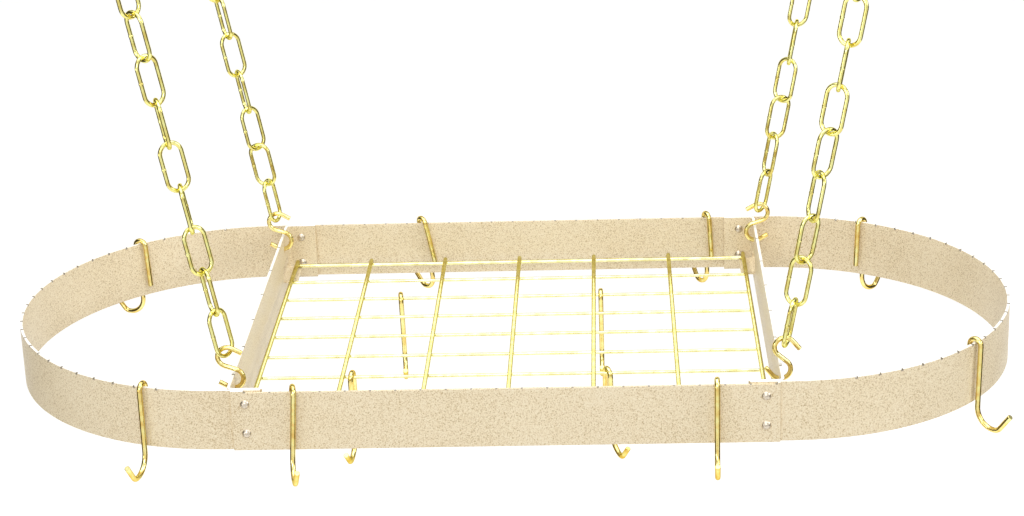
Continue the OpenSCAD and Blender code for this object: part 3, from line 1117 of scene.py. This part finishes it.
@dataclass
class PotHooks:
    """The twelve pot hooks, all bent alike: eight on the rim and four on the grid."""

    layout: Layout
    grid: Grid
    wire_d: float = 5.5
    gap: float = 8.0
    leg_l: float = 50.0
    shank_l: float = 66.0
    bend_r: float = 20.5
    bend_turn: float = 94.0
    nose_r: float = 9.0
    nose_turn: float = 50.0
    tip_l: float = 20.0
    rest_gap: float = 0.25
    hang_gap: float = 0.3
    rim_seats: tuple[RimSeat, ...] = (
        RimSeat("front_1", -90, 13, -4, -213), RimSeat("front_2", -90, -2, 0, 213),
        RimSeat("rear_1", 90, 38, -11, -116), RimSeat("rear_2", 90, 26, -3, 224),
        RimSeat("right_front", -39, -4, -2), RimSeat("right_rear", 62.4, -16, 2),
        RimSeat("left_rear", 129, 28, -3), RimSeat("left_front", 251.6, 2, 0))
    wire_seats: tuple[WireSeat, ...] = (
        WireSeat("rear_left", 7, 2, 44, 5), WireSeat("front_left", 3, 2, 9, -9),
        WireSeat("rear_right", 7, 5, 8, 0), WireSeat("front_right", 3, 5, 15, 25))

    @property
    def crown_r(self) -> float:
        """Radius of the crown on the middle of the wire."""
        return (self.gap + self.wire_d) / 2

    @property
    def moves(self) -> list[Move]:
        """Stretches and bends from the end of the short leg to the tip."""
        return [(self.leg_l,), (self.crown_r, 180), (self.shank_l,),
                (self.bend_r, -self.bend_turn), (self.nose_r, -self.nose_turn), (self.tip_l,)]

    def crown_depth(self, turn: float, lean: float) -> float:
        """Finds how far the crown's centre hangs below the rim.

        Args:
            turn: Turn of the hook away from square, in degrees.
            lean: Lean of the hook in the plane of the strip, in degrees.

        Returns:
            The depth at which the closest point of the crown is just clear of the strip.
        """
        reach = self.wire_d / 2 + self.rest_gap
        turn, lean = math.radians(turn), math.radians(lean)
        depths = []
        for degree in range(181):
            around = math.radians(degree)
            across = -self.crown_r * math.cos(around)
            off = max(abs(across * math.cos(turn)) - self.layout.strip / 2, 0)
            rise = self.crown_r * math.sin(around) * math.cos(lean)
            rise += across * math.sin(turn) * math.sin(lean)
            if off < reach:
                depths.append(rise - math.sqrt(reach * reach - off * off))
        return min(depths)

    def rim_place(self, seat: RimSeat) -> Matrix:
        """Returns the place of a hook on the rim.

        Args:
            seat: Where it hangs.

        Returns:
            Its place, from the frame in which the hook is bent.
        """
        size = self.layout
        middle_r = size.bow_r - size.strip / 2
        outward = math.radians(seat.outward)
        if seat.at is None:
            way = math.copysign(1, math.cos(outward))
            x = way * size.bow_x + middle_r * math.cos(outward)
            y = middle_r * math.sin(outward)
        else:
            x, y = seat.at, math.copysign(size.rack_w / 2 - size.strip / 2, seat.outward)
        z = size.rim_z - self.crown_depth(seat.turn, seat.lean)
        return (shift(x, y, z) @ turned(seat.outward, "Z") @ turned(seat.lean, "X")
                @ turned(seat.turn, "Z") @ shift(-self.crown_r, 0, -self.leg_l))

    def balance(self) -> tuple[float, float]:
        """Finds the middle of gravity of the bent wire.

        Returns:
            Its X and Z in the frame in which the hook is bent, in millimetres.
        """
        total, x_sum, z_sum = 0.0, 0.0, 0.0
        for index, move in enumerate(self.moves):
            length = move[0] if len(move) == 1 else move[0] * math.radians(abs(move[1]))
            parts = 60
            for part in range(parts):
                at, _ = end_of(self.moves[:index + 1], (part + 0.5) / parts)
                total += length / parts
                x_sum += at.x * length / parts
                z_sum += at.z * length / parts
        return x_sum / total, z_sum / total

    def wire_place(self, seat: WireSeat) -> Matrix:
        """Returns the place of a hook on a long wire, hanging with its weight below the wire.

        Args:
            seat: Where it hangs.

        Returns:
            Its place, from the frame in which the hook is bent.
        """
        wire_d = self.grid.wire_d(seat.wire)
        crown_down = self.gap / 2 - self.hang_gap - wire_d / 2
        heavy_x, heavy_z = self.balance()
        out = (heavy_x - self.crown_r) * math.cos(math.radians(seat.turn))
        down = self.leg_l + crown_down - heavy_z
        swing = math.degrees(math.atan2(out, down))
        x = self.grid.cross_x(seat.bay) + seat.past
        y = self.grid.long_y(seat.wire)
        z = self.grid.bottom - wire_d / 2
        return (shift(x, y, z) @ turned(swing, "X") @ shift(0, 0, -crown_down)
                @ turned(seat.turn - 90, "Z") @ shift(-self.crown_r, 0, -self.leg_l))

    def build(self, dresser: Dresser) -> None:
        """Bends one hook and hangs its copies.

        Args:
            dresser: Puts on the finishes.
        """
        pattern = cut_wire("pot_hook_pattern", self.wire_d, self.moves)
        for seat in self.rim_seats:
            node = f"rim_hook_{seat.name}"
            piece = place_copy(pattern, f"rim_pot_hook_{seat.name}", self.rim_place(seat))
            dresser.fit(piece, Slot.BRASS_PLATING, node, node)
        for seat in self.wire_seats:
            node = f"grid_hook_{seat.name}"
            piece = place_copy(pattern, f"grid_pot_hook_{seat.name}", self.wire_place(seat))
            dresser.fit(piece, Slot.BRASS_PLATING, node, node)
        bpy.data.objects.remove(pattern)


# ---- Chains and their hooks ---------------------------------------------------------------------


@dataclass
class Hangers:
    """What carries the rack at each corner: an S-hook, a chain of ten links and a screw hook."""

    layout: Layout
    lean: float = 10.5
    s_wire_d: float = 5.0
    s_loop_r: float = 10.4
    s_spread: float = 24.0
    s_tip_l: float = 11.0
    s_tip_turn: float = 130.0
    hanger_hole_top: float = 12.4
    hang_gap: float = 0.3
    link_wire_d: float = 4.4
    link_l: float = 54.4
    link_w: float = 27.0
    link_count: int = 10
    weld_l: float = 3.2
    weld_swell: float = 1.14
    screw_wire_d: float = 5.0
    screw_core_d: float = 3.9
    loop_r: float = 11.0
    neck_r: float = 6.0
    neck_l: float = 12.0
    screw_l: float = 37.98  # A hair under the solid's 38, to stay in its box
    point_l: float = 8.0
    thread_pitch: float = 2.1
    thread_bite: float = 0.2
    thread_start: float = 0.55
    thread_steps: int = 14
    link_turns: dict[Corner, tuple[float, ...]] = field(default_factory=lambda: {
        Corner.FRONT_LEFT: (55, -60, 35, -80, 30, -70, 45, -40, 50, -65),
        Corner.FRONT_RIGHT: (70, -35, 40, -70, 35, -35, 80, -30, 55, -60),
        Corner.REAR_LEFT: (70, -15, 45, -65, 40, -60, 30, -70, 50, -65),
        Corner.REAR_RIGHT: (55, -70, 25, -40, 85, 25, -45, 50, -50, 70)})

    @property
    def s_centre_z(self) -> float:
        """Height of the middle of an S-hook's lower loop."""
        low = -self.hanger_hole_top - self.hang_gap - self.s_wire_d / 2
        return self.layout.rim_z + low + self.s_loop_r

    @property
    def link_rise(self) -> float:
        """Length of a link on the middle of its wire."""
        return self.link_l - self.link_wire_d

    @property
    def first_link_up(self) -> float:
        """Distance along the chain from the lower S-hook loop to the middle of the first link."""
        s_top = self.s_spread + self.s_loop_r
        nested = (self.s_wire_d + self.link_wire_d) / 2
        return s_top - nested - self.hang_gap + self.link_rise / 2

    @property
    def link_pitch(self) -> float:
        """Distance between the middles of two links."""
        return self.link_rise - self.link_wire_d - self.hang_gap

    @property
    def screw_x(self) -> float:
        """Distance from the middle of the rack to a ceiling screw along X."""
        last = self.first_link_up + (self.link_count - 1) * self.link_pitch
        nested = (self.link_wire_d + self.screw_wire_d) / 2
        pivot = last + self.link_rise / 2 - nested - self.hang_gap
        return self.layout.web_x + (pivot + self.loop_r) * math.sin(math.radians(self.lean))

    def along(self, corner: Corner) -> Matrix:
        """Returns the frame of a leaning chain, from the middle of the lower S-hook loop up."""
        sx, sy, _ = corner.value
        size = self.layout
        foot = shift(sx * size.web_x, sy * size.hanger_y, self.s_centre_z)
        return foot @ turned(sx * self.lean, "Y")

    def s_hook(self) -> bpy.types.Object:
        """Bends one S-hook with its middle at the origin.

        Returns:
            The S-hook.
        """
        cross = math.degrees(math.asin(2 * self.s_loop_r / self.s_spread))
        cross_l = math.sqrt(self.s_spread ** 2 - 4 * self.s_loop_r ** 2)
        arc = cross + self.s_tip_turn
        moves = [(self.s_tip_l,), (self.s_loop_r, arc), (cross_l,), (self.s_loop_r, -arc),
                 (self.s_tip_l,)]
        piece = cut_wire("s_hook_pattern", self.s_wire_d, moves)
        middle, aim = end_of(moves[:3], 0.5)
        piece.data.transform(turned(cross - aim, "Y") @ shift(-middle.x, 0, -middle.z))
        return piece

    def link(self) -> bpy.types.Object:
        """Bends one link and closes it with a butt weld in the middle of a leg.

        Returns:
            The link, with its middle at the origin.
        """
        bend_r = (self.link_w - self.link_wire_d) / 2
        straight = self.link_l - self.link_w
        lead = (straight - self.weld_l) / 2
        bench = WireBench("link_pattern", self.link_wire_d, sides=16, ring=True)
        bench.follow([(lead,), (bend_r, 180), (straight,), (bend_r, 180), (lead,)])
        ring = self.weld_l / 4
        bench.go(ring * 0.6).go(ring, self.weld_swell).go(ring * 0.8).go(ring, 1 / self.weld_swell)
        bench.go(ring * 0.6)
        piece = bench.finish()
        piece.data.transform(shift(-bend_r, 0, -self.weld_l / 2))
        return piece

    def screw_hook(self) -> bpy.types.Object:
        """Bends one ceiling hook and cuts its thread, with the ceiling's face at Z = 0.

        Returns:
            The hook with its screw, its mouth away from the rack's middle on the right.
        """
        neck_turn = math.degrees(math.acos(self.neck_r / (self.neck_r + self.loop_r)))
        shoulder = 2.0
        bench = WireBench("screw_hook_pattern", self.screw_wire_d / 8)
        bench.go(self.point_l, self.screw_core_d / (self.screw_wire_d / 8))
        bench.go(self.screw_l - self.point_l - 2 * shoulder)
        bench.go(shoulder, self.screw_wire_d / self.screw_core_d)
        bench.go(shoulder + self.neck_l)
        burr = 0.4
        bench.follow([(self.neck_r, -neck_turn), (self.loop_r, 270)])
        bench.go(burr, 1 - 2 * burr / self.screw_wire_d)
        hook = bench.finish()
        thread = self.thread(self.screw_l - 2 * shoulder)
        joined = join_pieces([hook, thread], "screw_hook_pattern")
        joined.data.transform(shift(0, 0, self.screw_l) @ turned(180, "Y"))
        return joined

    def thread(self, length: float) -> bpy.types.Object:
        """Turns a sharp thread around the screw core, from its point up.

        Args:
            length: Length of the threaded part in millimetres.

        Returns:
            The thread, which starts in the point of the screw.
        """
        deselect_all()
        root, crest = self.screw_core_d / 2 - self.thread_bite, self.screw_wire_d / 2
        start = self.point_l * self.thread_start
        bpy.ops.mesh.primitive_circle_add(vertices=3, radius=(crest - root) / 1.5 * MM,
                                          fill_type="NOTHING")
        piece = bpy.context.object
        bpy.ops.object.mode_set(mode="EDIT")
        bpy.ops.mesh.select_all(action="SELECT")
        bpy.ops.transform.rotate(value=math.pi / 2, orient_axis="Z", center_override=(0, 0, 0))
        bpy.ops.transform.rotate(value=math.pi / 2, orient_axis="X", center_override=(0, 0, 0))
        outward = Vector((root + (crest - root) / 3, 0, start)) * MM
        bpy.ops.transform.translate(value=outward)
        bpy.ops.object.mode_set(mode="OBJECT")
        helix = piece.modifiers.new("helix", "SCREW")
        helix.axis = "Z"
        helix.steps = self.thread_steps
        helix.render_steps = self.thread_steps
        helix.iterations = int((length - start) / self.thread_pitch)
        helix.screw_offset = self.thread_pitch * MM
        apply_modifiers(piece)
        bpy.ops.object.mode_set(mode="EDIT")
        bpy.ops.mesh.select_all(action="SELECT")
        bpy.ops.mesh.remove_doubles(threshold=MERGE_MM * MM)
        bpy.ops.mesh.select_mode(type="EDGE")
        bpy.ops.mesh.select_all(action="DESELECT")
        bpy.ops.mesh.select_non_manifold()
        bpy.ops.mesh.fill()
        bpy.ops.mesh.select_all(action="SELECT")
        bpy.ops.mesh.normals_make_consistent(inside=False)
        bpy.ops.object.mode_set(mode="OBJECT")
        return piece

    def build(self, dresser: Dresser) -> None:
        """Models one S-hook, one link and one screw hook, and hangs their copies.

        Args:
            dresser: Puts on the finishes.
        """
        brass = Slot.BRASS_PLATING
        s_hook, link, screw_hook = self.s_hook(), self.link(), self.screw_hook()
        for corner in Corner:
            sx, sy, s_way = corner.value
            body = f"chain_{corner.label}"
            along = self.along(corner)
            face = turned(180 if s_way < 0 else 0, "Z")
            piece = place_copy(s_hook, f"s_wire_{corner.label}",
                               along @ shift(0, 0, self.s_spread / 2) @ face)
            dresser.fit(piece, brass, body, f"s_hook_{corner.label}")
            links = []
            for i in range(self.link_count):
                up = self.first_link_up + i * self.link_pitch
                place = along @ shift(0, 0, up) @ turned(self.link_turns[corner][i], "Z")
                links.append(place_copy(link, "link", place))
            piece = join_pieces(links, f"chain_links_{corner.label}")
            dresser.fit(piece, brass, body, body)
            dresser.plate_chain(piece)
            place = shift(sx * self.screw_x, sy * self.layout.hanger_y, 0)
            place = place @ turned(0 if sx > 0 else 180, "Z")
            piece = place_copy(screw_hook, f"screw_hook_{corner.label}", place)
            dresser.fit(piece, brass, "ceiling_hooks", f"ceiling_hook_{corner.label}")
        for pattern in (s_hook, link, screw_hook):
            bpy.data.objects.remove(pattern)


# ---- Studio -----------------------------------------------------------------------------------


@dataclass(frozen=True)
class Viewpoint:
    """The photograph's viewpoint: place in millimetres above the rim's middle, turns in radians,
    focal length and height of the principal point in pixels."""

    layout: Layout
    place: tuple[float, float, float] = (111.01, -2476.24, 953.85)
    pitch: float = 0.35352
    yaw: float = -0.04434
    roll: float = 0.03427
    focal_px: float = 2416.329
    principal_y_px: float = 262.228
    width_px: float = 1024.0
    height_px: float = 516.0
    sensor_mm: float = 36.0

    def build(self) -> None:
        """Creates the camera and makes it the scene's."""
        ahead = Vector((math.sin(self.yaw) * math.cos(self.pitch),
                        math.cos(self.yaw) * math.cos(self.pitch), -math.sin(self.pitch)))
        level = Vector((math.cos(self.yaw), -math.sin(self.yaw), 0))
        down = ahead.cross(level)
        right = math.cos(self.roll) * level + math.sin(self.roll) * down
        down = -math.sin(self.roll) * level + math.cos(self.roll) * down
        turn = Matrix((right, -down, -ahead)).transposed().to_4x4()
        lens = bpy.data.cameras.new("photo camera")
        lens.sensor_width = self.sensor_mm
        lens.lens = self.focal_px / self.width_px * self.sensor_mm
        lens.shift_y = (self.principal_y_px - self.height_px / 2) / self.width_px
        lens.clip_start = 0.01
        lens.clip_end = 60
        camera = bpy.data.objects.new("photo camera", lens)
        bpy.context.scene.collection.objects.link(camera)
        x, y, z = self.place
        camera.matrix_world = shift(x, y, z + self.layout.rim_z) @ turn
        bpy.context.scene.camera = camera


@dataclass(frozen=True)
class Lamp:
    """A soft rectangular lamp: place and aim in metres, size in metres, power in watts."""

    name: str
    place: tuple[float, float, float]
    aim: tuple[float, float, float]
    size: tuple[float, float]
    power: float


@dataclass(frozen=True)
class Flag:
    """A photographer's dark card: middle, direction that it faces, and size, in metres."""

    name: str
    place: tuple[float, float, float]
    facing: tuple[float, float, float]
    size: tuple[float, float]


@dataclass
class Studio:
    """White surroundings, soft lamps, dark flags and a pale floor far below the rack.

    The flags are seen only in reflections. They draw the dark lines along the brass wires, as
    the unlit parts of a studio do.
    """

    floor_z: float = -2.4
    world_level: float = 0.55
    floor_colour: str = "F2F1EE"
    floor_light: str = "F6F5F3"
    floor_size: float = 40.0
    lamps: tuple[Lamp, ...] = (
        Lamp("overhead softbox", (0.0, -0.3, 1.6), (0.0, 0.0, -0.54), (2.6, 2.0), 37),
        Lamp("front softbox", (-0.45, -3.0, 0.9), (0.0, 0.0, -0.55), (1.6, 1.2), 27),
        Lamp("right softbox", (2.7, -0.8, 0.7), (0.0, 0.0, -0.55), (1.2, 1.4), 26),
        Lamp("left softbox", (-2.4, -1.9, -0.5), (-0.4, 0.0, -0.54), (1.0, 0.6), 8),
        Lamp("rear softbox", (0.0, 3.8, 0.7), (0.0, 0.0, -0.55), (3.2, 0.9), 11))
    flag_grey: str = "45423A"
    flag_light: str = "544F46"
    flags: tuple[Flag, ...] = (
        Flag("left flag", (-2.7, 0.3, -0.4), (1, 0, 0), (4.0, 3.6)),
        Flag("right flag", (2.9, 0.3, -0.4), (-1, 0, 0), (4.0, 3.6)),
        Flag("upper rear flag", (0.0, 2.7, 1.9), (0, -1, -0.7), (5.0, 1.7)))

    def build(self) -> None:
        """Creates the world, the lamps and the floor."""
        bpy.context.scene.view_settings.view_transform = "Standard"
        self._world()
        for lamp in self.lamps:
            self._lamp(lamp)
        self._flags()
        self._floor()

    @staticmethod
    def _seen(tree: bpy.types.NodeTree) -> bpy.types.NodeSocket:
        """Returns a socket that is 1 for rays from the camera, from gloss and through glass."""
        path = add_node(tree, "ShaderNodeLightPath")
        seen = add_node(tree, "ShaderNodeMath", {"operation": "MAXIMUM"}, {
            0: path.outputs["Is Camera Ray"], 1: path.outputs["Is Glossy Ray"]})
        seen = add_node(tree, "ShaderNodeMath", {"operation": "MAXIMUM"}, {
            0: seen.outputs[0], 1: path.outputs["Is Transmission Ray"]})
        return seen.outputs[0]

    def _world(self) -> None:
        """Makes a world that is white to look at and lights the object at a plain level."""
        world = bpy.data.worlds.new("white surroundings")
        bpy.context.scene.world = world
        world.use_nodes = True
        tree = world.node_tree
        tree.nodes.clear()
        level = add_node(tree, "ShaderNodeMapRange", inputs={
            "Value": self._seen(tree), "To Min": self.world_level, "To Max": 1.0})
        white = add_node(tree, "ShaderNodeBackground", inputs={
            "Color": (1.0, 1.0, 1.0, 1.0), "Strength": level.outputs["Result"]})
        add_node(tree, "ShaderNodeOutputWorld", inputs={"Surface": white.outputs["Background"]})

    def _lamp(self, lamp: Lamp) -> None:
        """Hangs one lamp.

        Args:
            lamp: Its place, aim, size and power.
        """
        light = bpy.data.lights.new(lamp.name, "AREA")
        light.shape = "RECTANGLE"
        light.size, light.size_y = lamp.size
        light.energy = lamp.power
        holder = bpy.data.objects.new(lamp.name, light)
        bpy.context.scene.collection.objects.link(holder)
        place, aim = Vector(lamp.place), Vector(lamp.aim)
        turn = (aim - place).to_track_quat("-Z", "Y").to_matrix().to_4x4()
        holder.matrix_world = Matrix.Translation(place) @ turn

    def _flags(self) -> None:
        """Stands the flags, which only reflections see."""
        material, tree, shader = new_material("dark felt")
        place = add_node(tree, "ShaderNodeTexCoord").outputs["Object"]
        nap = add_node(tree, "ShaderNodeTexNoise", inputs={"Vector": place, "Scale": 4.0})
        ramp = add_node(tree, "ShaderNodeValToRGB", inputs={"Fac": nap.outputs["Fac"]})
        set_ramp(ramp, [(0.3, self.flag_grey), (0.7, self.flag_light)])
        tree.links.new(ramp.outputs["Color"], shader.inputs["Base Color"])
        shader.inputs["Roughness"].default_value = 1.0
        for flag in self.flags:
            deselect_all()
            bpy.ops.mesh.primitive_plane_add(size=1)
            card = bpy.context.object
            card.name = flag.name.replace(" ", "_")
            turn = Vector(flag.facing).to_track_quat("Z", "Y").to_matrix().to_4x4()
            stretch = Matrix.Diagonal((flag.size[0], flag.size[1], 1, 1))
            card.data.transform(Matrix.Translation(flag.place) @ turn @ stretch)
            card.data.materials.append(material)
            card.visible_camera = False
            card.visible_diffuse = False
            card.visible_shadow = False
            card.visible_transmission = False

    def _floor(self) -> None:
        """Lays a pale floor that looks white and keeps the rack's shadow."""
        material, tree, shader = new_material("pale floor paint")
        place = add_node(tree, "ShaderNodeTexCoord").outputs["Object"]
        mottle = add_node(tree, "ShaderNodeTexNoise", inputs={"Vector": place, "Scale": 3.0})
        ramp = add_node(tree, "ShaderNodeValToRGB", inputs={"Fac": mottle.outputs["Fac"]})
        set_ramp(ramp, [(0.3, self.floor_colour), (0.7, self.floor_light)])
        tree.links.new(ramp.outputs["Color"], shader.inputs["Base Color"])
        shader.inputs["Roughness"].default_value = 0.9
        shader.inputs["Emission Color"].default_value = (1.0, 1.0, 1.0, 1.0)
        glow = add_node(tree, "ShaderNodeMath", {"operation": "MULTIPLY"}, {
            0: self._seen(tree), 1: 0.5})
        tree.links.new(glow.outputs[0], shader.inputs["Emission Strength"])
        deselect_all()
        bpy.ops.mesh.primitive_plane_add(size=self.floor_size, location=(0, 0, self.floor_z))
        floor = bpy.context.object
        floor.name = "floor"
        floor.data.materials.append(material)


def main() -> None:
    """Builds the finishes, the pieces and the studio."""
    logging.basicConfig(level=logging.INFO, format="%(message)s")
    layout = Layout()
    finishes = {
        Slot.POWDER_COAT: HammeredPowderCoat(layout.rim_z).build(),
        Slot.BRASS_PLATING: BrassPlate().build(),
        Slot.RIVET_METAL: RivetAluminium().build(),
    }
    # The grid and the chains look paler and greener than the hooks. Whether their plating differs
    # or only the light on them isn't known, so these two finishes match the look and no more.
    on_grid = BrassPlate("pale brass plating on the grid", pale="EFECC0", gold="E4DEA2",
                         deep="D2C888", rim=(0.74, 0.69, 0.38, 1.0)).build()
    on_chain = BrassPlate("greenish brass plating on the chain", pale="EFEDA6", gold="E6DE8C",
                          deep="D3C06A", rim=(0.68, 0.62, 0.24, 1.0)).build()
    dresser = Dresser(finishes, NotchShade().build(), on_grid, on_chain)
    dresser.coat_solids()
    Viewpoint(layout).build()
    Band(layout).build(dresser)
    Crossbars(layout).build(dresser)
    grid = Grid(layout)
    grid.build(dresser)
    PotHooks(layout, grid).build(dresser)
    Hangers(layout).build(dresser)
    Studio().build()
    LOG.info("%d pieces dressed", dresser.dressed)


if __name__ == "__main__":
    main()
